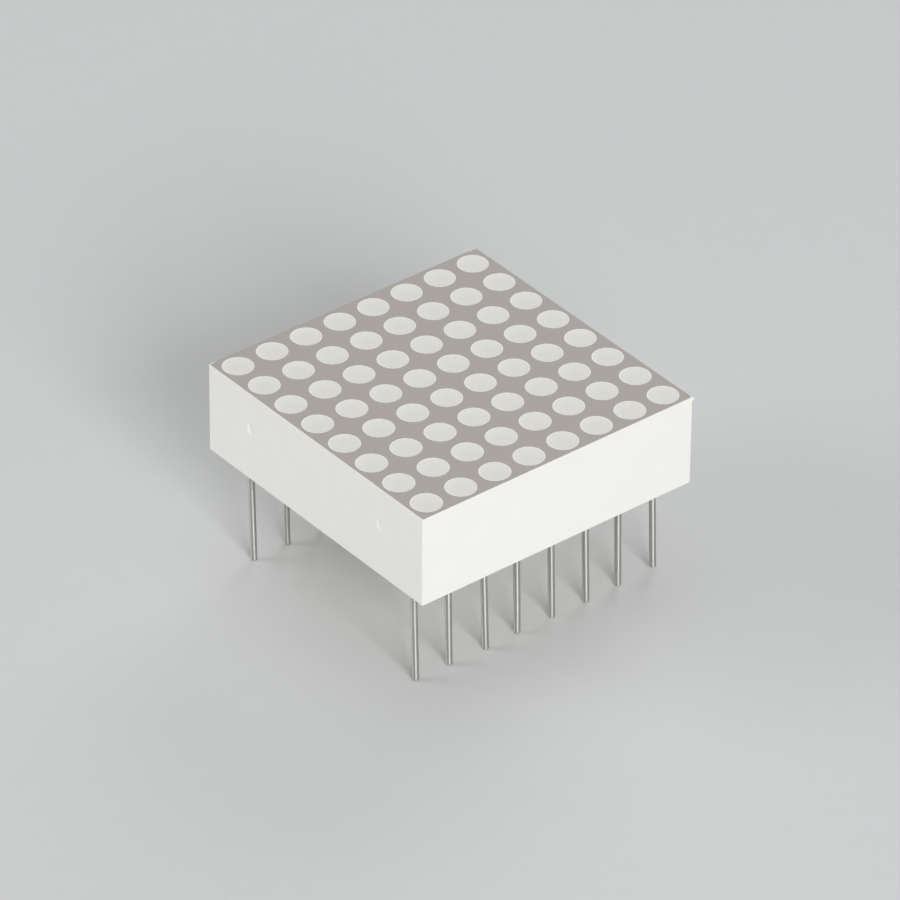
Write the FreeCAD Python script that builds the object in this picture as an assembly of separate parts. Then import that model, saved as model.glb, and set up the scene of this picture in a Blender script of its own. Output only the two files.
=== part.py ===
import FreeCAD, Part
import math
import os
from FreeCAD import Vector

# An 8 by 8 LED dot matrix module, in millimetres.
# A white moulded case has a thick web with 64 tapered reflector cups. Diffusing
# resin fills each cup round the LED die that stands on the circuit board behind it.
# Two rows of round wire pins pass through the board, and potting closes the back.
# Cups have twelve flats and pin shanks six, so that the many of them stay light.
# +X runs along the pin rows and +Z is the way the dots shine.
# The origin lies under the middle of the case, in the plane of the pin tips.

# The dots
dots_per_side = 8
dot_pitch = 2.5
window_diameter = 1.74
cup_floor_diameter = 1.1
resin_shrink = 0.04
cup_sides = 12

# The case
tiling_relief = 0.05
case_height = 6.0
web_thickness = 3.0
wall_thickness = 0.5
corner_bevel = 0.1

# The circuit board and the LED dice on it
board_gap = 0.1
board_thickness = 1.2
die_side = 0.28
die_height = 0.2

# The potting behind the board
potting_recess = 0.05

# The pins
pins_per_row = 8
pin_pitch = 2.54
pin_row_spacing = 15.24
pin_diameter = 0.42
pin_reach = 7.1
shank_sides = 6

# Cases stand edge to edge with their dots evenly spaced, so the side follows the dots
case_side = dots_per_side * dot_pitch - tiling_relief
inner_side = case_side - 2 * wall_thickness
board_side = inner_side - 2 * board_gap

# Heights above the pin tips
rim_level = pin_reach
face_level = rim_level + case_height
web_level = face_level - web_thickness
board_back_level = web_level - board_thickness
potting_level = rim_level + potting_recess


def centred_places(count, pitch):
    """Places of a row of equally spaced things about its middle."""
    first = -(count - 1) * pitch / 2
    return [first + index * pitch for index in range(count)]


dot_places = centred_places(dots_per_side, dot_pitch)


def square_block(side, low, high):
    """A square block about the Z axis between two levels."""
    corner = Vector(-side / 2, -side / 2, low)
    return Part.makeBox(side, side, high - low, corner)


def flat_sided_ring(x, y, level, across, sides):
    """Corners of a regular outline that measures `across` from flat to flat."""
    half_turn = math.pi / sides
    reach = across / 2 / math.cos(half_turn)
    angles = [(2 * index + 1) * half_turn for index in range(sides)]
    return [Vector(x + reach * math.cos(a), y + reach * math.sin(a), level) for a in angles]


def flat_face(corners):
    return Part.Face(Part.makePolygon(corners + corners[:1]))


def ring_block(low, high):
    """The solid between two level rings that have as many corners."""
    sides = [flat_face([low[i - 1], low[i], high[i], high[i - 1]]) for i in range(len(low))]
    return Part.Solid(Part.Shell(sides + [flat_face(low), flat_face(high)]))


def cup_width(level):
    """Width of a cup between its back end and the face."""
    share = (level - web_level) / web_thickness
    return cup_floor_diameter + share * (window_diameter - cup_floor_diameter)


def cup_filling(x, y, top_level):
    """The tapered space of one cup, from the back of the web up to a level."""
    low = flat_sided_ring(x, y, web_level, cup_width(web_level), cup_sides)
    high = flat_sided_ring(x, y, top_level, cup_width(top_level), cup_sides)
    return ring_block(low, high)


def pin_shank(x, y):
    """The gripped end of a pin, swaged to flats, from the potting's back to the web."""
    low = flat_sided_ring(x, y, potting_level, pin_diameter, shank_sides)
    high = flat_sided_ring(x, y, web_level, pin_diameter, shank_sides)
    return ring_block(low, high)


def at_every_dot(make):
    """What one dot has, made at all of them, row after row."""
    return [make(x, y) for y in dot_places for x in dot_places]


def make_die(x, y):
    """One LED die, standing on the board in the middle of its cup."""
    corner = Vector(x - die_side / 2, y - die_side / 2, web_level)
    return Part.makeBox(die_side, die_side, die_height, corner)


def make_case():
    """The moulded case: thin walls, an open back and a thick web pierced by the cups."""
    block = square_block(case_side, rim_level, face_level)
    upright = [edge for edge in block.Edges if edge.BoundBox.ZLength > case_height / 2]
    block = block.makeChamfer(corner_bevel, upright)
    hollow = square_block(inner_side, rim_level, web_level)
    cups = at_every_dot(lambda x, y: cup_filling(x, y, face_level))
    return block.cut([hollow] + cups)


def make_window(x, y):
    """The diffusing resin in one cup, cast round the die and a little below the face."""
    return cup_filling(x, y, face_level - resin_shrink).cut(make_die(x, y))


def make_board(shanks):
    """The circuit board, seated on the back of the web and pierced by the pins."""
    return square_block(board_side, board_back_level, web_level).cut(shanks)


def make_pin(x, y, shank):
    """One straight pin: round wire below the potting, and the shank above."""
    return Part.makeCylinder(pin_diameter / 2, potting_level, Vector(x, y, 0)).fuse(shank)


def make_potting(shanks):
    """The potting that fills the case behind and round the board and grips the pins."""
    board_space = square_block(board_side, board_back_level, web_level)
    return square_block(inner_side, potting_level, web_level).cut([board_space] + shanks)


def export(shape, name):
    shape.exportStep("parts/" + name + ".step")


os.makedirs("parts", exist_ok=True)

row_places = centred_places(pins_per_row, pin_pitch)
pin_places = [(x, -pin_row_spacing / 2) for x in row_places]
pin_places += [(x, pin_row_spacing / 2) for x in reversed(row_places)]
shanks = [pin_shank(x, y) for x, y in pin_places]

export(make_case(), "case")
export(Part.makeCompound(at_every_dot(make_window)), "dot_windows")
export(make_board(shanks), "circuit_board")
export(make_potting(shanks), "back_potting")

for number, y in enumerate(dot_places, start=1):
    dice = [make_die(x, y) for x in dot_places]
    export(Part.makeCompound(dice), f"led_dice_row_{number}")

for number, ((x, y), shank) in enumerate(zip(pin_places, shanks), start=1):
    export(make_pin(x, y, shank), f"pin_{number:02d}")
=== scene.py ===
import math
import random

import bmesh
import bpy
from bpy.props import FloatProperty, FloatVectorProperty, IntProperty, PointerProperty
from mathutils import Matrix, Vector, noise
from mathutils.geometry import delaunay_2d_cdt


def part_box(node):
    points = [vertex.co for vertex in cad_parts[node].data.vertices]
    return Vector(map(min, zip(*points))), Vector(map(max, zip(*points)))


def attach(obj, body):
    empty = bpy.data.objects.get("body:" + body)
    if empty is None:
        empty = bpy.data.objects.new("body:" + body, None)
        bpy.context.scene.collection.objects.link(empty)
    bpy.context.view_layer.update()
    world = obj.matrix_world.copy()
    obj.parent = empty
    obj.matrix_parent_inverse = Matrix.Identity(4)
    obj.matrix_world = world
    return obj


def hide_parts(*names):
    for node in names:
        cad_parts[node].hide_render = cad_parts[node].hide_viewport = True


bl_info = {
    "name": "LED Dot Matrix",
    "version": (1, 0, 0),
    "blender": (4, 5, 0),
    "location": "3D View > Sidebar > Dot Matrix",
    "description": "Dresses the packed frame of an LED dot matrix module",
    "category": "Add Mesh",
}

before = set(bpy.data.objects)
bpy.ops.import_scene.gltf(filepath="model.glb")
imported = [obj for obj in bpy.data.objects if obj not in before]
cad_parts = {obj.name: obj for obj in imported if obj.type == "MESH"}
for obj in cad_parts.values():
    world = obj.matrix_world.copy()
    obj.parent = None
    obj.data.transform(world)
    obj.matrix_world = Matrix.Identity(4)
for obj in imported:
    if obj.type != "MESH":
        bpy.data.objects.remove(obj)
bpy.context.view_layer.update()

MM = 0.001
CASE_LOW, CASE_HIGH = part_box("case")
BOARD_LOW, BOARD_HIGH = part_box("circuit_board")
RESIN_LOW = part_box("dot_windows")[0]
POTTING_LOW, POTTING_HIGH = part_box("back_potting")
PINS = sorted(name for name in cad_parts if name.startswith("pin_"))
DICE = sorted(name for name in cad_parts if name.startswith("led_dice_row_"))

FULL_TURN = 2 * math.pi
QUARTER_TURN = math.pi / 2
# An edge that turns by less than this looks smooth
SMOOTH_BELOW = math.radians(32)


def linear(hex_colour):
    """The linear colour, with alpha, of an sRGB hex value."""
    parts = [int(hex_colour[start : start + 2], 16) / 255 for start in (1, 3, 5)]
    return tuple(p / 12.92 if p <= 0.04045 else ((p + 0.055) / 1.055) ** 2.4 for p in parts) + (1,)


def length(name, description, millimetres):
    """A setting that holds a length."""
    return FloatProperty(name=name, description=description, default=millimetres * MM, unit="LENGTH")


def colour(name, description, hex_colour):
    """A setting that holds a colour."""
    return FloatVectorProperty(
        name=name, description=description, subtype="COLOR", size=4, min=0, max=1,
        default=linear(hex_colour),
    )


# Settings


class DotSettings(bpy.types.PropertyGroup):
    """The grid of dots, and the cup under each of them"""

    per_side: IntProperty(name="Dots a side", description="Dots in a row", default=8, min=1)
    pitch: length("Dot pitch", "Distance between the middles of two dots", 2.5)
    cup_floor: length("Cup floor radius", "Radius of a cup at the back of the web", 0.55)
    cup_mouth: length("Cup mouth radius", "Radius of a cup at the face", 0.87)
    mouth_round: length("Mouth rounding", "Rounding of the cup's front edge", 0.008)


class CaseSettings(bpy.types.PropertyGroup):
    """The moulded case"""

    wall: length("Wall", "Thickness of the side walls", 0.5)
    corner: length("Corner radius", "Rounding of the upright corners", 0.08)
    face_edge: length("Face edge radius", "Rounding between the face and the walls", 0.03)
    rim_edge: length("Rim edge radius", "Rounding of the back rim", 0.05)
    inner_corner: length("Inner corner radius", "Rounding of the hollow's corners", 0.3)
    scar_reach: length("Gate scar reach", "From the middle of a gate scar to its sides", 0.33)
    scar_depth: length("Gate scar depth", "Depth of the recess round a gate", 0.085)
    flash: length("Flash", "How far a scrap of flash stands out at the right front corner", 0.2)
    plastic: colour("Plastic", "White pigmented polycarbonate", "#F3F2EE")


class PrintSettings(bpy.types.PropertyGroup):
    """The grey print on the face"""

    thickness: length("Ink thickness", "Height of the printed coat", 0.012)
    margin: length("Margin", "Bare edge between the print and the walls", 0.038)
    shift: FloatVectorProperty(
        name="Shift", description="How far the print sits off the middle of the face",
        default=(0.008 * MM, 0.008 * MM, 0), size=3, subtype="TRANSLATION", unit="LENGTH",
    )
    opening: length("Opening radius", "Radius of the bare disc round each dot", 0.953)
    waviness: length("Edge waviness", "How far the edge of an opening wanders", 0.008)
    ink: colour("Ink", "Warm grey screen ink", "#AEA8A4")


class ResinSettings(bpy.types.PropertyGroup):
    """The resin in the cups"""

    sink: length("Sink", "How far the resin's edge lies below the face", 0.003)
    dish: length("Dish", "How far the cured resin sinks in the middle of a cup", 0.045)
    resin: colour("Resin", "Milky diffusing epoxy", "#E2E1DC")
    rim: colour("Resin at the wall", "Thin resin over the white wall of a cup", "#E9E8E3")


class PinSettings(bpy.types.PropertyGroup):
    """The wire pins"""

    radius: length("Pin radius", "Radius of the wire", 0.21)
    chamfer: length("Tip chamfer", "Edge that the cutter rolls at the tip", 0.05)
    shear: length("Tip shear", "Slant of the cut across the wire", 0.1)
    lean: FloatVectorProperty(
        name="Lean", description="How far the tips stand off their places after handling",
        default=(0.2 * MM, -0.16 * MM), size=2, subtype="TRANSLATION", unit="LENGTH",
    )
    short_cut: length("Short cut", "How much shorter the last front pin was cut", 0.28)
    scatter: length("Scatter", "How far one tip differs from its neighbours", 0.08)
    tin: colour("Tin", "Tin plating on drawn wire", "#D3D3D0")
    cut: colour("Cut metal", "Bare metal at the sheared tip", "#A58F78")


class PottingSettings(bpy.types.PropertyGroup):
    """The resin poured into the back"""

    wall_climb: length("Climb at the walls", "Height that the resin climbs up the walls", 0.09)
    pin_climb: length("Climb at the pins", "Height that the resin climbs up a pin", 0.16)
    hollow: length("Hollow", "How far the surface sinks as it cures", 0.14)
    climb_reach: length("Climb reach", "Distance over which a climb fades out", 0.22)
    resin: colour("Potting", "Poured milky epoxy", "#DEDACB")


class InnerSettings(bpy.types.PropertyGroup):
    """The finishes of the circuit board and the dice"""

    mask: colour("Solder mask", "Green mask on the circuit board", "#2C6B48")
    glass: colour("Glass weave", "Glass cloth showing through the mask", "#47835A")
    chip: colour("Chip", "Sawn light emitting chip", "#8F8468")
    contact: colour("Contact", "Gold contact pad on a chip", "#D9B45C")


class StageSettings(bpy.types.PropertyGroup):
    """The camera, the lamps and the floor"""

    azimuth: FloatProperty(
        name="Azimuth", description="Camera's turn round the object", default=math.radians(-39.08),
        subtype="ANGLE",
    )
    elevation: FloatProperty(
        name="Elevation", description="Camera's angle above the floor", default=math.radians(34.76),
        subtype="ANGLE",
    )
    roll: FloatProperty(
        name="Roll", description="Camera's turn about its own line of sight",
        default=math.radians(0.554), subtype="ANGLE",
    )
    distance: length("Distance", "From the camera to the point it looks at", 445.1)
    lens: FloatProperty(
        name="Lens", description="Focal length in millimetres", default=311.6, unit="CAMERA",
    )
    look_at: FloatVectorProperty(
        name="Look at", description="Point in the middle of the picture",
        default=(-4.446 * MM, -5.529 * MM, 13.124 * MM), subtype="TRANSLATION",
    )
    key_power: FloatProperty(
        name="Key power", description="Large lamp in front, a little to the left", default=2.68,
        unit="POWER",
    )
    top_power: FloatProperty(
        name="Top power", description="Soft box overhead", default=0.3, unit="POWER",
    )
    fill_power: FloatProperty(
        name="Fill power", description="Soft lamp behind on the left", default=1.02, unit="POWER",
    )
    back_power: FloatProperty(
        name="Back power", description="Soft lamp behind on the right", default=0.9, unit="POWER",
    )
    ambient: FloatProperty(
        name="Ambient", description="Strength of the light from all round", default=0.35, min=0,
    )
    floor: colour("Floor", "Pale matt floor", "#D4D5D6")


# Shader helpers


def add_node(tree, kind, inputs=None, output=0, **settings):
    """Adds a node with its settings, sets or links its inputs, and returns one of its outputs."""
    node = tree.nodes.new("ShaderNode" + kind)
    for name, value in settings.items():
        setattr(node, name, value)
    for socket, value in (inputs or {}).items():
        if isinstance(value, bpy.types.NodeSocket):
            tree.links.new(value, node.inputs[socket])
        else:
            node.inputs[socket].default_value = value
    return node.outputs[output]


def new_material(name, **uniform):
    """A material whose shader has these uniform values on its own sockets."""
    material = bpy.data.materials.new(name)
    material.use_nodes = True
    tree = material.node_tree
    shader = tree.nodes["Principled BSDF"]
    for socket, value in uniform.items():
        shader.inputs[socket.replace("_", " ")].default_value = value
    return material, tree, shader


def per(size):
    """Texture scale at which one feature is this many metres across."""
    return 1 / size


def cloud(tree, size, detail=3, stretch=(1, 1, 1)):
    """Soft noise with features of a real size, longer along an axis that is stretched."""
    place = add_node(tree, "Mapping", {
        "Vector": add_node(tree, "TexCoord", output="Object"), "Scale": [1 / s for s in stretch],
    })
    return add_node(tree, "TexNoise", {"Vector": place, "Scale": per(size), "Detail": detail})


def shaded(tree, tint, factor, low, high):
    """A colour made darker or lighter, from low to high, as the factor goes from 0 to 1."""
    brightness = add_node(tree, "MapRange", {"Value": factor, "To Min": low, "To Max": high})
    return add_node(tree, "HueSaturation", {"Color": tint, "Value": brightness})


def from_dot_middle(tree):
    """Distance in metres of a point from the middle of its own dot."""
    pitch = bpy.context.scene.matrix_dots.pitch
    point = add_node(tree, "TexCoord", output="Object")
    cell = add_node(tree, "VectorMath", {0: point, 1: (pitch, pitch, 1), 2: (0, 0, 0)}, operation="WRAP")
    middle = add_node(tree, "VectorMath", {0: cell, 1: (pitch / 2, pitch / 2, 0)}, operation="SUBTRACT")
    level = add_node(tree, "VectorMath", {0: middle, 1: (1, 1, 0)}, operation="MULTIPLY")
    return add_node(tree, "VectorMath", {0: level}, output="Value", operation="LENGTH")


# Materials

# Chips in the ink at the face's edges, in millimetres from the middle, each with its radius
INK_CHIPS = (
    (-9.92, 9.92, 0.06), (-9.81, 9.92, 0.06), (-9.7, 9.92, 0.05), (-9.5, 9.94, 0.04),
    (9.38, 9.94, 0.045), (9.58, 9.92, 0.06), (9.79, 9.92, 0.055), (9.95, 9.93, 0.06),
    (9.96, -9.94, 0.12),
)
# A white filler scatters every colour almost equally far, red the furthest
MILKY = (1.0, 0.95, 0.88)
THREAD_SPACING = 0.45 * MM
# A wave texture at a scale of 1 goes through this many radians in each metre
WAVE_RADIANS = 20
# The gold contact of a chip, and how softly it ends
CONTACT_RADIUS = 0.06 * MM
CONTACT_EDGE = 0.005 * MM


def moulded_polycarbonate(settings):
    """White pigmented polycarbonate, injection moulded in a finely eroded steel mould. It looks
    satin and very even, with a faint cloudiness and slow hollows where it shrank."""
    material, tree, shader = new_material("moulded_white_polycarbonate", IOR=1.585, Roughness=0.42)
    tint = shaded(tree, settings.plastic, cloud(tree, 1.6 * MM), low=0.972, high=1.02)
    tree.links.new(tint, shader.inputs["Base Color"])
    eroded = add_node(tree, "Bump", {
        "Height": cloud(tree, 0.07 * MM, detail=2), "Distance": 0.0015 * MM,
    })
    sunken = add_node(tree, "Bump", {
        "Height": cloud(tree, 2.8 * MM, detail=1), "Distance": 0.02 * MM, "Normal": eroded,
    })
    tree.links.new(sunken, shader.inputs["Normal"])
    return material


def screen_ink(settings, plastic):
    """Solvent ink laid through a fine screen and dried: matt, warm grey, slightly grainy from
    the pigment and the threads of the screen, and chipped to the white at some corners."""
    material, tree, shader = new_material("screen_printed_grey_ink", IOR=1.5, Roughness=0.62)
    grain = shaded(tree, settings.ink, cloud(tree, 0.09 * MM, detail=4), low=0.955, high=1.045)
    inked = shaded(tree, grain, cloud(tree, 3.2 * MM), low=0.985, high=1.015)
    point = add_node(tree, "TexCoord", output="Object")
    bare = 0.0
    for x, y, radius in INK_CHIPS:
        away = add_node(tree, "VectorMath", {
            0: point, 1: (x * MM, y * MM, CASE_HIGH.z),
        }, output="Value", operation="DISTANCE")
        near = add_node(tree, "MapRange", {
            "Value": away, "From Max": 2 * radius * MM, "To Min": 1.0, "To Max": 0.0,
        })
        bare = add_node(tree, "Math", {0: near, 1: bare}, operation="MAXIMUM")
    ragged = add_node(tree, "Math", {0: bare, 1: cloud(tree, 0.06 * MM, detail=1)}, operation="ADD")
    chipped = add_node(tree, "MapRange", {"Value": ragged, "From Min": 0.94, "From Max": 1.06})
    tint = add_node(tree, "MixRGB", {"Fac": chipped, "Color1": inked, "Color2": plastic})
    tree.links.new(tint, shader.inputs["Base Color"])
    pigment = add_node(tree, "Bump", {
        "Height": cloud(tree, 0.06 * MM, detail=3), "Distance": 0.003 * MM,
    })
    tree.links.new(pigment, shader.inputs["Normal"])
    return material


def cast_epoxy(settings, cup_mouth):
    """Epoxy with a diffusing filler, cast in the cups: milky, soft and lighter at the wall,
    where it lies thin over the white plastic."""
    material, tree, shader = new_material(
        "cast_milky_epoxy", IOR=1.53, Roughness=0.6,
        Subsurface_Weight=0.3, Subsurface_Scale=0.25 * MM, Subsurface_Radius=MILKY,
    )
    outward = add_node(tree, "MapRange", {"Value": from_dot_middle(tree), "From Max": cup_mouth})
    at_wall = add_node(tree, "Math", {0: outward, 1: 2.0}, operation="POWER")
    tint = add_node(tree, "MixRGB", {"Fac": at_wall, "Color1": settings.resin, "Color2": settings.rim})
    tint = shaded(tree, tint, cloud(tree, 2.2 * MM, detail=1), low=0.985, high=1.015)
    tint = shaded(tree, tint, cloud(tree, 0.12 * MM), low=0.985, high=1.015)
    tree.links.new(tint, shader.inputs["Base Color"])
    uneven = add_node(tree, "Bump", {"Height": cloud(tree, 0.5 * MM), "Distance": 0.008 * MM})
    tree.links.new(uneven, shader.inputs["Normal"])
    return material


def tinned_wire(settings):
    """Copper clad wire, drawn and then hot tinned. Fine rings left by the chattering die draw
    each lamp out into a bright streak along the wire, with dark lines between the streaks."""
    material, tree, shader = new_material("drawn_tinned_wire", Metallic=1.0, Anisotropic=0.9)
    lines = cloud(tree, 0.05 * MM, detail=2, stretch=(1, 1, 80))
    waves = cloud(tree, 0.6 * MM, detail=2, stretch=(1, 1, 3))
    tint = shaded(tree, settings.tin, lines, low=0.9, high=1.06)
    tint = shaded(tree, tint, waves, low=0.95, high=1.03)
    tree.links.new(tint, shader.inputs["Base Color"])
    dullness = add_node(tree, "MapRange", {"Value": waves, "To Min": 0.44, "To Max": 0.54})
    tree.links.new(dullness, shader.inputs["Roughness"])
    tree.links.new(add_node(tree, "CombineXYZ", {"Z": 1.0}), shader.inputs["Tangent"])
    scored = add_node(tree, "Bump", {"Height": lines, "Distance": 0.001 * MM})
    tree.links.new(scored, shader.inputs["Normal"])
    return material


def sheared_metal(settings):
    """Bare core metal where the cutter broke the wire: duller, warmer and torn across."""
    material, tree, shader = new_material("sheared_wire_end", Metallic=1.0, Roughness=0.5)
    tint = shaded(tree, settings.cut, cloud(tree, 0.05 * MM), low=0.75, high=1.1)
    tree.links.new(tint, shader.inputs["Base Color"])
    torn = add_node(tree, "Bump", {"Height": cloud(tree, 0.04 * MM), "Distance": 0.012 * MM})
    tree.links.new(torn, shader.inputs["Normal"])
    return material


def poured_epoxy(settings):
    """Epoxy poured into the back of the case and cured: glossy, slightly yellow and cloudy,
    with slow ripples and the odd small bubble under its skin."""
    material, tree, shader = new_material(
        "poured_milky_epoxy", IOR=1.53, Roughness=0.16,
        Subsurface_Weight=0.35, Subsurface_Scale=0.5 * MM, Subsurface_Radius=MILKY,
    )
    point = add_node(tree, "TexCoord", output="Object")
    cells = add_node(tree, "TexVoronoi", {"Vector": point, "Scale": per(1.5 * MM), "Randomness": 1.0})
    bubble = add_node(tree, "MapRange", {
        "Value": cells, "From Min": 0.1, "From Max": 0.05,
    }, interpolation_type="SMOOTHSTEP")
    tint = shaded(tree, settings.resin, cloud(tree, 2.4 * MM, detail=4), low=0.93, high=1.04)
    tint = shaded(tree, tint, bubble, low=1.0, high=0.9)
    tree.links.new(tint, shader.inputs["Base Color"])
    ripples = add_node(tree, "Bump", {
        "Height": cloud(tree, 1.8 * MM, detail=1), "Distance": 0.03 * MM,
    })
    blistered = add_node(tree, "Bump", {
        "Height": bubble, "Distance": 0.02 * MM, "Normal": ripples,
    })
    tree.links.new(blistered, shader.inputs["Normal"])
    return material


def masked_laminate(settings):
    """Glass cloth and epoxy pressed into a board, with a green mask: glossy, and with the
    weave showing faintly through the mask."""
    material, tree, shader = new_material("masked_glass_laminate", IOR=1.52, Roughness=0.3)
    point = add_node(tree, "TexCoord", output="Object")
    threads = [
        add_node(tree, "TexWave", {
            "Vector": point, "Scale": per(THREAD_SPACING) * FULL_TURN / WAVE_RADIANS,
            "Distortion": 0.6, "Detail": 1,
        }, output="Fac", bands_direction=direction)
        for direction in ("X", "Y")
    ]
    weave = add_node(tree, "Math", {0: threads[0], 1: threads[1]}, operation="MULTIPLY")
    tint = add_node(tree, "MixRGB", {"Fac": weave, "Color1": settings.mask, "Color2": settings.glass})
    tint = shaded(tree, tint, cloud(tree, 1.2 * MM), low=0.94, high=1.05)
    tree.links.new(tint, shader.inputs["Base Color"])
    woven = add_node(tree, "Bump", {"Height": weave, "Distance": 0.01 * MM})
    tree.links.new(woven, shader.inputs["Normal"])
    return material


def sawn_chip(settings):
    """A light emitting chip, sawn from its wafer and gilded on top: a dark glassy grain on the
    sides and a small gold contact in the middle."""
    material, tree, shader = new_material("sawn_gilded_chip", Metallic=0.6, Roughness=0.35)
    pad = add_node(tree, "MapRange", {
        "Value": from_dot_middle(tree),
        "From Min": CONTACT_RADIUS + CONTACT_EDGE, "From Max": CONTACT_RADIUS - CONTACT_EDGE,
    })
    tint = add_node(tree, "MixRGB", {"Fac": pad, "Color1": settings.chip, "Color2": settings.contact})
    tint = shaded(tree, tint, cloud(tree, 0.05 * MM), low=0.85, high=1.1)
    tree.links.new(tint, shader.inputs["Base Color"])
    sawn = add_node(tree, "Bump", {"Height": cloud(tree, 0.03 * MM), "Distance": 0.004 * MM})
    tree.links.new(sawn, shader.inputs["Normal"])
    return material


def matt_paper(settings):
    """Matt pale backdrop paper: flat, and very faintly mottled."""
    material, tree, shader = new_material("matt_backdrop_paper", Roughness=0.9)
    tint = shaded(tree, settings.floor, cloud(tree, 1.5 * MM), low=0.99, high=1.01)
    tree.links.new(tint, shader.inputs["Base Color"])
    return material


# Mesh helpers

CORNER_STEPS = 6
# The kind of fill that keeps what lies inside an outline
INSIDE_OUTLINE = 1
# Points closer than this are one point to a fill
SAME_POINT = 1e-9


def circle(x, y, radius, height, count):
    """Points of a level circle, counted anticlockwise."""
    angles = [FULL_TURN * step / count for step in range(count)]
    return [Vector((x + radius * math.cos(a), y + radius * math.sin(a), height)) for a in angles]


def rounded_square(half, corner, height):
    """Points of a level square with rounded corners, counted anticlockwise."""
    points = []
    for quarter in range(4):
        start = quarter * QUARTER_TURN
        middle = start + QUARTER_TURN / 2
        out = math.sqrt(2) * (half - corner)
        for step in range(CORNER_STEPS + 1):
            angle = start + QUARTER_TURN * step / CORNER_STEPS
            points.append(Vector((
                out * math.cos(middle) + corner * math.cos(angle),
                out * math.sin(middle) + corner * math.sin(angle),
                height,
            )))
    return points


def loop(mesh, points):
    """A new vertex at each point."""
    return [mesh.verts.new(point) for point in points]


def bridge(mesh, loops):
    """Quads between each loop of vertices and the next. Returns them."""
    made = []
    for low, high in zip(loops, loops[1:]):
        made += [mesh.faces.new((low[i - 1], low[i], high[i], high[i - 1])) for i in range(len(low))]
    return made


def fill(mesh, outline, holes=(), inner=(), axes=(0, 1)):
    """Triangles across a nearly flat outline, with open holes and loose inner vertices."""
    loops = [outline, *holes]
    corners = [vertex for one in loops for vertex in one] + list(inner)
    edges = []
    start = 0
    for one in loops:
        edges += [(start + i, start + (i + 1) % len(one)) for i in range(len(one))]
        start += len(one)
    flat = [Vector((v.co[axes[0]], v.co[axes[1]])) for v in corners]
    _, _, triangles, sources, _, _ = delaunay_2d_cdt(flat, edges, [], INSIDE_OUTLINE, SAME_POINT)
    closed = [set(one) for one in holes]
    for triangle in triangles:
        face = [corners[sources[i][0]] for i in triangle]
        if not any(set(face) <= hole for hole in closed):
            mesh.faces.new(face)


def dot_middles():
    """The middle of every dot, row after row."""
    dots = bpy.context.scene.matrix_dots
    first = -(dots.per_side - 1) * dots.pitch / 2
    places = [first + i * dots.pitch for i in range(dots.per_side)]
    return [(x, y) for y in places for x in places]


def cup_radius(height):
    """Radius of a cup at a height, on its straight taper."""
    dots = bpy.context.scene.matrix_dots
    share = (height - RESIN_LOW.z) / (CASE_HIGH.z - RESIN_LOW.z)
    return dots.cup_floor + share * (dots.cup_mouth - dots.cup_floor)


def add_piece(name, mesh, materials, nodes=()):
    """Turns built geometry into a piece that rides on the frame and stands for CAD nodes."""
    bmesh.ops.recalc_face_normals(mesh, faces=mesh.faces)
    data = bpy.data.meshes.new(name)
    mesh.to_mesh(data)
    mesh.free()
    for material in materials:
        data.materials.append(material)
    data.shade_smooth()
    data.set_sharp_from_angle(angle=SMOOTH_BELOW)
    piece = bpy.data.objects.new(name, data)
    bpy.context.collection.objects.link(piece)
    even = piece.modifiers.new("Even face normals", "WEIGHTED_NORMAL")
    even.keep_sharp = True
    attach(piece, "root")
    if nodes:
        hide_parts(*nodes)


# Case

CUP_SIDES = 64
ROUND_STEPS = 4
# The back rim's inner edge has this share of the outer edge's radius
INNER_RIM = 0.5
# The tip of the scrap of flash lies this far below the face
FLASH_DROP = 0.12 * MM
# The flash fades out this far down the corner and this far round it
FLASH_HEIGHT = 0.16 * MM
FLASH_WIDTH = 0.14 * MM
FLASH_WAY = Vector((1, -0.4)).normalized()
# Rings from the tip of the flash down to where it ends, as shares of its height
FLASH_RINGS = (0, 0.5, 1)
# Each gate's distance along the left wall and below the face in millimetres, and how deep its
# scar is as a share of the depth in the settings
GATES = ((5.96, 2.42, 1.05), (-6.14, 2.48, 0.6))
# A gate scar from its edge to its middle, as shares of its reach and of its depth
SCAR_PROFILE = (
    (1.15, 0), (1, 0), (0.96, 0.1), (0.72, 0.92), (0.64, 1), (0.26, 0.95), (0.2, 0.25), (0.12, 0.05),
)
# The corners of a scar are rounded by this share of its reach
SCAR_ROUNDING = 0.6
# The floor of a scar tilts by this share of its depth, over this share of its reach each way
SCAR_TILT = 0.45
SCAR_TILT_REACH = 0.7
# Size of the waves in the edge of an opening in the print
WANDER_SIZE = 0.35 * MM
# Rings of the resin's surface as shares of its radius, and how steeply it rises at the wall
DISH_RINGS = (1, 0.96, 0.9, 0.82, 0.72, 0.6, 0.4)
DISH_POWER = 3


def quarter_steps():
    """Angles that divide a rounded edge evenly."""
    return [QUARTER_TURN * step / ROUND_STEPS for step in range(ROUND_STEPS + 1)]


def outer_skin(mesh, settings, top):
    """Loops down the outside of the case, from the face to the rim."""
    half = CASE_HIGH.x
    edge, rim = settings.face_edge, settings.rim_edge
    profile = [(edge * (1 - math.sin(a)), top - edge * (1 - math.cos(a))) for a in quarter_steps()]
    profile += [(0, top - FLASH_DROP - share * FLASH_HEIGHT) for share in FLASH_RINGS]
    profile += [
        (rim * (1 - math.cos(a)), CASE_LOW.z + rim * (1 - math.sin(a))) for a in quarter_steps()
    ]
    loops = []
    for inset, height in profile:
        ring = rounded_square(half - inset, settings.corner - inset, height)
        for point in ring:
            near_corner = 1 - (point.xy - Vector((half, -half))).length / FLASH_WIDTH
            near_tip = 1 - abs(height - top + FLASH_DROP) / FLASH_HEIGHT
            if near_corner > 0 and near_tip > 0:
                point.xy += FLASH_WAY * settings.flash * near_corner * near_tip
        loops.append(loop(mesh, ring))
    return loops


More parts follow.
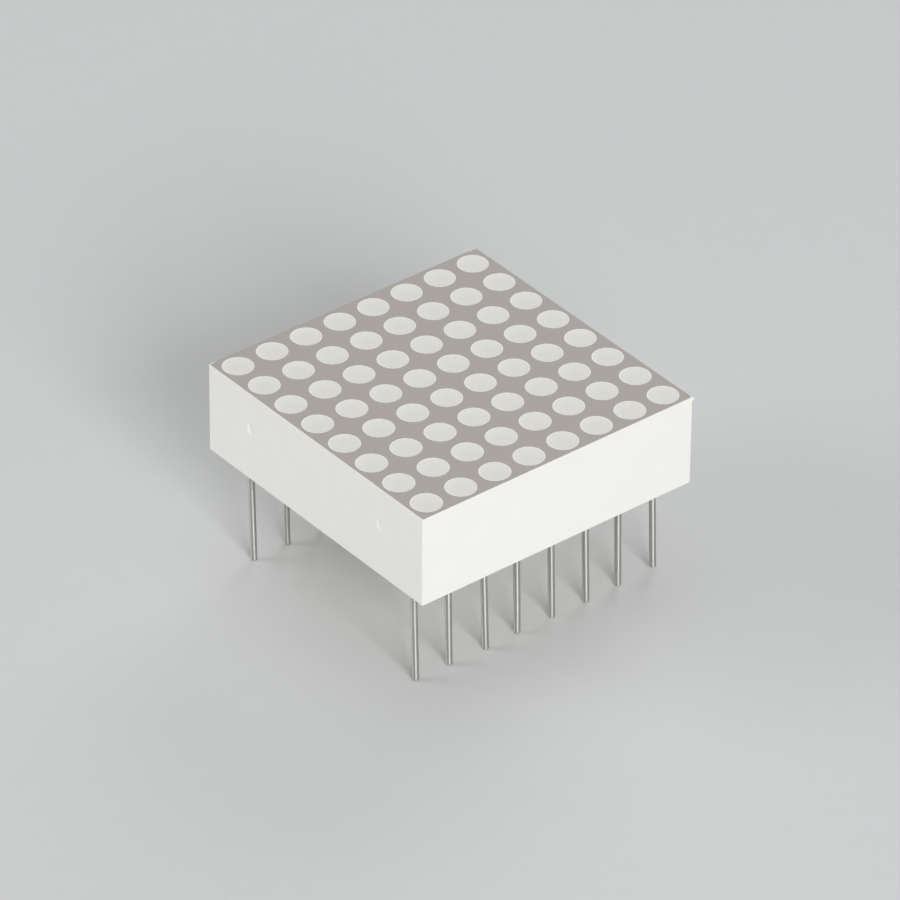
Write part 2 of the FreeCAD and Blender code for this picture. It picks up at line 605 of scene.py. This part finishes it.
def inner_skin(mesh, settings):
    """Loops up the inside of the case, from the rim to the web."""
    half = CASE_HIGH.x - settings.wall
    rim = settings.rim_edge * INNER_RIM
    loops = []
    for angle in quarter_steps():
        outward = rim * (1 - math.sin(angle))
        height = CASE_LOW.z + rim * (1 - math.cos(angle))
        loops.append(loop(mesh, rounded_square(half + outward, settings.inner_corner + outward, height)))
    loops.append(loop(mesh, rounded_square(half, settings.inner_corner, BOARD_HIGH.z)))
    return loops


def cup_skin(mesh, x, y, top):
    """Loops of one cup, from the back of the web to the face."""
    edge = bpy.context.scene.matrix_dots.mouth_round
    loops = [loop(mesh, circle(x, y, cup_radius(BOARD_HIGH.z), BOARD_HIGH.z, CUP_SIDES))]
    for angle in quarter_steps():
        radius = cup_radius(top) + edge * (1 - math.cos(angle))
        loops.append(loop(mesh, circle(x, y, radius, top - edge * (1 - math.sin(angle)), CUP_SIDES)))
    bridge(mesh, loops)
    return loops


def gate_scar(mesh, settings, y, below_face, share):
    """A recess with a torn nub in the left wall, where the plastic flowed in. It is deepest
    towards the back and runs out towards the front. Returns its edge."""
    reach = settings.scar_reach
    loops = []
    for size, depth in SCAR_PROFILE:
        ring = rounded_square(reach * size, reach * size * SCAR_ROUNDING, CASE_HIGH.z - below_face)
        points = []
        for point in ring:
            backward = max(-1, min(1, point.x / (reach * SCAR_TILT_REACH)))
            sunk = settings.scar_depth * share * depth * (1 - SCAR_TILT + SCAR_TILT * backward)
            points.append(Vector((CASE_LOW.x + sunk, y + point.x, point.z + point.y)))
        loops.append(loop(mesh, points))
    bridge(mesh, loops)
    mesh.faces.new(loops[-1])
    return loops[0]


def print_opening(settings, x, y, height):
    """Points of the opening in the print round a dot, with an edge that wanders slightly."""
    ring = circle(x, y, settings.opening, height, CUP_SIDES)
    for point in ring:
        place = Vector((point.x, point.y, 0)) / WANDER_SIZE
        away = Vector((point.x - x, point.y - y, 0)).normalized()
        point += away * settings.waviness * noise.noise(place)
    return ring


class MATRIX_OT_build_case(bpy.types.Operator):
    """Build the moulded case: walls, web with its cups, rounded edges and gate scars"""

    bl_idname = "matrix.build_case"
    bl_label = "Case"

    def execute(self, context):
        scene = context.scene
        settings = scene.matrix_case
        top = CASE_HIGH.z - scene.matrix_print.thickness
        mesh = bmesh.new()
        outer = outer_skin(mesh, settings, top)
        inner = inner_skin(mesh, settings)
        walls = bridge(mesh, outer + inner)
        cups = [cup_skin(mesh, x, y, top) for x, y in dot_middles()]
        fill(mesh, outer[0], [cup[-1] for cup in cups])
        fill(mesh, inner[-1], [cup[0] for cup in cups])

        # The flat of the left wall is made again, round the gate scars
        gated = max(walls, key=lambda face: -face.calc_center_median().x * face.calc_area())
        corners = list(gated.verts)
        mesh.faces.remove(gated)
        scars = [gate_scar(mesh, settings, y * MM, drop * MM, share) for y, drop, share in GATES]
        fill(mesh, corners, scars, axes=(1, 2))
        add_piece("case_shell", mesh, [moulded_polycarbonate(settings)], ["case"])
        return {"FINISHED"}


class MATRIX_OT_print_face(bpy.types.Operator):
    """Lay the grey screen print on the face, with a round opening at every dot"""

    bl_idname = "matrix.print_face"
    bl_label = "Face print"

    def execute(self, context):
        settings = context.scene.matrix_print
        half = CASE_HIGH.x - settings.margin
        corner = context.scene.matrix_case.corner - settings.margin
        mesh = bmesh.new()
        skirts = []
        for height in (CASE_HIGH.z - settings.thickness, CASE_HIGH.z):
            square = rounded_square(half, corner, height)
            outline = loop(mesh, [point + Vector(settings.shift) for point in square])
            holes = [loop(mesh, print_opening(settings, x, y, height)) for x, y in dot_middles()]
            fill(mesh, outline, holes)
            skirts.append([outline, *holes])
        for lower, upper in zip(*skirts):
            bridge(mesh, [lower, upper])
        add_piece("face_ink", mesh, [screen_ink(settings, context.scene.matrix_case.plastic)])
        return {"FINISHED"}


class MATRIX_OT_cast_windows(bpy.types.Operator):
    """Cast the milky resin in the cups, flush with the face and very slightly dished"""

    bl_idname = "matrix.cast_windows"
    bl_label = "Dot windows"

    def execute(self, context):
        settings = context.scene.matrix_resin
        dots = context.scene.matrix_dots
        edge_height = CASE_HIGH.z - context.scene.matrix_print.thickness - settings.sink
        edge_radius = cup_radius(edge_height)
        mesh = bmesh.new()
        for x, y in dot_middles():
            loops = [loop(mesh, circle(x, y, cup_radius(RESIN_LOW.z), RESIN_LOW.z, CUP_SIDES))]
            mesh.faces.new(loops[0])
            for share in DISH_RINGS:
                height = edge_height - settings.dish * (1 - share ** DISH_POWER)
                loops.append(loop(mesh, circle(x, y, edge_radius * share, height, CUP_SIDES)))
            bridge(mesh, loops)
            middle = mesh.verts.new((x, y, edge_height - settings.dish))
            rim = loops[-1]
            for i in range(CUP_SIDES):
                mesh.faces.new((rim[i - 1], rim[i], middle))
        add_piece(
            "window_resin", mesh, [cast_epoxy(settings, dots.cup_mouth)],
            ["dot_windows"],
        )
        return {"FINISHED"}


# Pins and potting

WIRE_SIDES = 32
PIN_STEPS = 14
# The rolled edge at a pin's tip, as shares of the chamfer: how far in, and how far up
TIP_PROFILE = ((1, 0), (0.3, 0.5), (0, 1.4))
# The cut across a tip has between these shares of the full slant
LEAST_SLANT, MOST_SLANT = 0.2, 0.6
# A handled pin bends in this share of its length next to the potting, by this share of its lean
BEND_SHARE = 0.17
BEND_LEAN = 0.42
# The last pin of the front row
SHORT_PIN = "pin_08"
SEED = 2641
# Places this close to a limit are taken to be on it
CLOSE = 0.001 * MM
# The surface of the potting is drawn in rings this far from the walls and from each pin
WALL_RINGS = (0.06 * MM, 0.14 * MM, 0.26 * MM, 0.45 * MM, 0.75 * MM)
PIN_RINGS = (0.05 * MM, 0.12 * MM, 0.22 * MM, 0.38 * MM, 0.62 * MM)
WALL_RING_STEP = 0.6 * MM
# Rings at the walls stay this clear of the pins, and rings at the pins this clear of the walls
WALL_RING_CLEARANCE = 0.7 * MM
PIN_RING_CLEARANCE = 0.05 * MM
# Between the rings lies a grid of points, this clear of the walls and of the pins
GRID_STEP = 0.55 * MM
GRID_TO_WALL = 0.9 * MM
GRID_TO_PIN = 0.79 * MM
RIPPLE_HEIGHT = 0.03 * MM
RIPPLE_SIZE = 2.5 * MM
# The board's corners are cut so tightly that they look sharp
BOARD_CORNER = 0.01 * MM


def pin_middle(name):
    """Where a pin of the frame stands."""
    low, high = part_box(name)
    return (low.x + high.x) / 2, (low.y + high.y) / 2


PIN_MIDDLES = {name: pin_middle(name) for name in PINS}


def wire_rings(settings, name, lean, slant):
    """Rings of points up one pin, from its sheared tip to the front of the board. They lie
    closest where the pin bends, and the bend eases in and out."""
    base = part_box(name)[0].z + (settings.short_cut if name == SHORT_PIN else 0)
    bare = POTTING_LOW.z - base
    profile = [(settings.chamfer * inset, settings.chamfer * height) for inset, height in TIP_PROFILE]
    profile += [(0, bare * (1 - (1 - step / PIN_STEPS) ** 2)) for step in range(1, PIN_STEPS + 1)]
    profile.append((0, BOARD_HIGH.z - base))
    rings = []
    for index, (inset, height) in enumerate(profile):
        free = max(0, 1 - height / bare)
        bend = min(1, free / BEND_SHARE)
        shift = lean * (BEND_LEAN * bend * bend * (3 - 2 * bend) + (1 - BEND_LEAN) * free)
        ring = circle(0, 0, settings.radius - inset, base + height, WIRE_SIDES)
        for point in ring:
            if index < len(TIP_PROFILE):
                point.z += point.xy.dot(slant) / settings.radius + slant.length
            point.xy += Vector(PIN_MIDDLES[name]) + shift
        rings.append(ring)
    return rings


class MATRIX_OT_draw_pins(bpy.types.Operator):
    """Draw the tinned wire pins, each with a sheared tip and a slight lean of its own"""

    bl_idname = "matrix.draw_pins"
    bl_label = "Pins"

    def execute(self, context):
        settings = context.scene.matrix_pins
        metals = [tinned_wire(settings), sheared_metal(settings)]
        chance = random.Random(SEED)
        for name in PINS:
            astray = Vector((chance.uniform(-1, 1), chance.uniform(-1, 1))) * settings.scatter
            lean = Vector(settings.lean) + astray
            slant = Vector((1, 0)) * settings.shear * chance.uniform(LEAST_SLANT, MOST_SLANT)
            slant.rotate(Matrix.Rotation(chance.uniform(0, FULL_TURN), 2))
            mesh = bmesh.new()
            loops = [loop(mesh, ring) for ring in wire_rings(settings, name, lean, slant)]
            bridge(mesh, loops)
            mesh.faces.new(loops[0]).material_index = 1
            mesh.faces.new(loops[-1])
            add_piece(name.replace("pin_", "wire_pin_"), mesh, metals, [name])
        return {"FINISHED"}


def room_round(x, y):
    """How far a place in the potting is from the walls and from the nearest pin."""
    wire = bpy.context.scene.matrix_pins.radius
    to_wall = POTTING_HIGH.x - max(abs(x), abs(y))
    to_pin = min(math.hypot(x - px, y - py) for px, py in PIN_MIDDLES.values()) - wire
    return to_wall, to_pin


def potting_level(x, y):
    """Height of the cured potting: it sinks in the middle and climbs at its edges."""
    settings = bpy.context.scene.matrix_potting
    to_wall, to_pin = room_round(x, y)
    climb = settings.wall_climb * math.exp(-to_wall / settings.climb_reach)
    climb += settings.pin_climb * math.exp(-to_pin / settings.climb_reach)
    ripple = RIPPLE_HEIGHT * noise.noise(Vector((x, y, 0)) / RIPPLE_SIZE)
    return POTTING_LOW.z + settings.hollow - climb + ripple


def on_potting(mesh, points, clear_wall=0, clear_pin=0):
    """Vertices on the potting's surface, where they are this far from the walls and the pins."""
    kept = []
    for point in points:
        to_wall, to_pin = room_round(point.x, point.y)
        if to_wall > clear_wall - CLOSE and to_pin > clear_pin - CLOSE:
            kept.append(Vector((point.x, point.y, potting_level(point.x, point.y))))
    return loop(mesh, kept)


def near_walls(mesh, corner):
    """Vertices in rings that follow the walls."""
    made = []
    for inset in WALL_RINGS:
        ring = rounded_square(POTTING_HIGH.x - inset, corner, 0)
        spaced = []
        for i, point in enumerate(ring):
            count = max(1, round((point - ring[i - 1]).length / WALL_RING_STEP))
            spaced += [ring[i - 1].lerp(point, (k + 1) / count) for k in range(count)]
        made += on_potting(mesh, spaced, clear_pin=WALL_RING_CLEARANCE)
    return made


def between_rings(mesh):
    """Vertices in a grid over the rest of the surface."""
    made = []
    count = int(POTTING_HIGH.x / GRID_STEP)
    for row in range(-count, count + 1):
        for column in range(-count, count + 1):
            place = Vector((column * GRID_STEP, row * GRID_STEP, 0))
            made += on_potting(mesh, [place], clear_wall=GRID_TO_WALL, clear_pin=GRID_TO_PIN)
    return made


class MATRIX_OT_pour_potting(bpy.types.Operator):
    """Pour the potting behind the board, climbing a little at the walls and the pins"""

    bl_idname = "matrix.pour_potting"
    bl_label = "Potting"

    def execute(self, context):
        wire = context.scene.matrix_pins.radius
        corner = context.scene.matrix_case.inner_corner
        half = POTTING_HIGH.x
        board = BOARD_HIGH.x
        middles = PIN_MIDDLES.values()
        mesh = bmesh.new()
        outline = on_potting(mesh, rounded_square(half, corner, 0))
        inner = near_walls(mesh, corner)
        collars = []
        for x, y in middles:
            collars.append(on_potting(mesh, circle(x, y, wire, 0, WIRE_SIDES)))
            for reach in PIN_RINGS:
                ring = circle(x, y, wire + reach, 0, WIRE_SIDES)
                inner += on_potting(mesh, ring, clear_wall=PIN_RING_CLEARANCE)
        inner += between_rings(mesh)
        fill(mesh, outline, collars, inner)

        # The sides run along the walls to the web, in to the board, and back down its edge
        sides = [
            outline,
            loop(mesh, rounded_square(half, corner, BOARD_HIGH.z)),
            loop(mesh, rounded_square(board, BOARD_CORNER, BOARD_HIGH.z)),
            loop(mesh, rounded_square(board, BOARD_CORNER, BOARD_LOW.z)),
        ]
        bridge(mesh, sides)
        sockets = [loop(mesh, circle(x, y, wire, BOARD_LOW.z, WIRE_SIDES)) for x, y in middles]
        for collar, socket in zip(collars, sockets):
            bridge(mesh, [collar, socket])
        fill(mesh, sides[-1], sockets)
        resin = poured_epoxy(context.scene.matrix_potting)
        add_piece("potting", mesh, [resin], ["back_potting"])
        return {"FINISHED"}


class MATRIX_OT_finish_inside(bpy.types.Operator):
    """Give the circuit board and the LED dice their finishes"""

    bl_idname = "matrix.finish_inside"
    bl_label = "Board and dice"

    def execute(self, context):
        settings = context.scene.matrix_inside
        laminate = masked_laminate(settings)
        chip = sawn_chip(settings)
        for names, material in ((["circuit_board"], laminate), (DICE, chip)):
            for name in names:
                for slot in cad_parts[name].material_slots:
                    slot.material = material
        return {"FINISHED"}


# Stage

# Each soft lamp's place and the length of its side, in metres
LAMPS = {
    "key": ((-0.19, -0.54, 0.3), 0.26),
    "top": ((0.05, 0.1, 0.6), 0.4),
    "fill": ((-0.46, 0.36, 0.26), 0.3),
    "back": ((0.5, 0.28, 0.3), 0.35),
}
# The point that the lamps shine at
LIT_POINT = Vector((0, 0, 10 * MM))
# From the middle of the floor to its sides, in metres
FLOOR_REACH = 2
# Width of the camera's sensor, in millimetres
SENSOR_WIDTH = 36
# The camera sees nothing nearer than this
NEAREST_SEEN = 10 * MM
WHITE = (1, 1, 1, 1)


def add_floor(settings):
    """The pale floor, in the plane of the pins' tips."""
    mesh = bmesh.new()
    bmesh.ops.create_grid(mesh, x_segments=1, y_segments=1, size=FLOOR_REACH)
    data = bpy.data.meshes.new("floor")
    mesh.to_mesh(data)
    mesh.free()
    data.materials.append(matt_paper(settings))
    floor = bpy.data.objects.new("floor", data)
    bpy.context.collection.objects.link(floor)


def add_lamp(name, place, side, power):
    """A square soft lamp that shines at the object."""
    data = bpy.data.lights.new(name, "AREA")
    data.size = side
    data.energy = power
    lamp = bpy.data.objects.new(name, data)
    lamp.location = place
    lamp.rotation_euler = (LIT_POINT - Vector(place)).to_track_quat("-Z", "Y").to_euler()
    bpy.context.collection.objects.link(lamp)


def add_camera(settings):
    """The camera, at the photograph's angle."""
    a, e, roll = settings.azimuth, settings.elevation, settings.roll
    back = Vector((math.sin(a) * math.cos(e), -math.cos(a) * math.cos(e), math.sin(e)))
    level_right = (-back).cross(Vector((0, 0, 1))).normalized()
    level_up = level_right.cross(-back)
    right = level_right * math.cos(roll) + level_up * math.sin(roll)
    up = level_up * math.cos(roll) - level_right * math.sin(roll)
    data = bpy.data.cameras.new("camera")
    data.lens = settings.lens
    data.sensor_width = SENSOR_WIDTH
    data.clip_start = NEAREST_SEEN
    camera = bpy.data.objects.new("camera", data)
    turned = Matrix((right, up, back)).transposed().to_4x4()
    place = Vector(settings.look_at) + back * settings.distance
    camera.matrix_world = Matrix.Translation(place) @ turned
    bpy.context.collection.objects.link(camera)
    bpy.context.scene.camera = camera


class MATRIX_OT_set_stage(bpy.types.Operator):
    """Set up the pale floor, the soft lamps and the camera"""

    bl_idname = "matrix.set_stage"
    bl_label = "Stage"

    def execute(self, context):
        scene = context.scene
        settings = scene.matrix_stage
        add_floor(settings)
        for name, (place, side) in LAMPS.items():
            add_lamp(name, place, side, getattr(settings, name + "_power"))
        world = bpy.data.worlds.new("studio")
        world.use_nodes = True
        backdrop = world.node_tree.nodes["Background"]
        backdrop.inputs["Color"].default_value = WHITE
        backdrop.inputs["Strength"].default_value = settings.ambient
        scene.world = world
        scene.view_settings.view_transform = "Standard"
        add_camera(settings)
        return {"FINISHED"}


# Add-on


class VIEW3D_PT_matrix(bpy.types.Panel):
    """Lists the steps that dress the module"""

    bl_label = "LED Dot Matrix"
    bl_space_type = "VIEW_3D"
    bl_region_type = "UI"
    bl_category = "Dot Matrix"

    def draw(self, context):
        for operator in OPERATORS:
            self.layout.operator(operator.bl_idname)


SETTINGS = {
    "matrix_dots": DotSettings,
    "matrix_case": CaseSettings,
    "matrix_print": PrintSettings,
    "matrix_resin": ResinSettings,
    "matrix_pins": PinSettings,
    "matrix_potting": PottingSettings,
    "matrix_inside": InnerSettings,
    "matrix_stage": StageSettings,
}

OPERATORS = (
    MATRIX_OT_build_case,
    MATRIX_OT_print_face,
    MATRIX_OT_cast_windows,
    MATRIX_OT_draw_pins,
    MATRIX_OT_pour_potting,
    MATRIX_OT_finish_inside,
    MATRIX_OT_set_stage,
)


CLASSES = (*SETTINGS.values(), *OPERATORS, VIEW3D_PT_matrix)


def register():
    """Registers the classes and gives the scene its settings."""
    for one in CLASSES:
        bpy.utils.register_class(one)
    for name, group in SETTINGS.items():
        setattr(bpy.types.Scene, name, PointerProperty(type=group))


def unregister():
    """Takes away what register added, in the other order."""
    for name in SETTINGS:
        delattr(bpy.types.Scene, name)
    for one in reversed(CLASSES):
        bpy.utils.unregister_class(one)


def main():
    """Registers the add-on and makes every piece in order."""
    register()
    bpy.ops.matrix.build_case()
    bpy.ops.matrix.print_face()
    bpy.ops.matrix.cast_windows()
    bpy.ops.matrix.draw_pins()
    bpy.ops.matrix.pour_potting()
    bpy.ops.matrix.finish_inside()
    bpy.ops.matrix.set_stage()


if __name__ == "__main__":
    main()
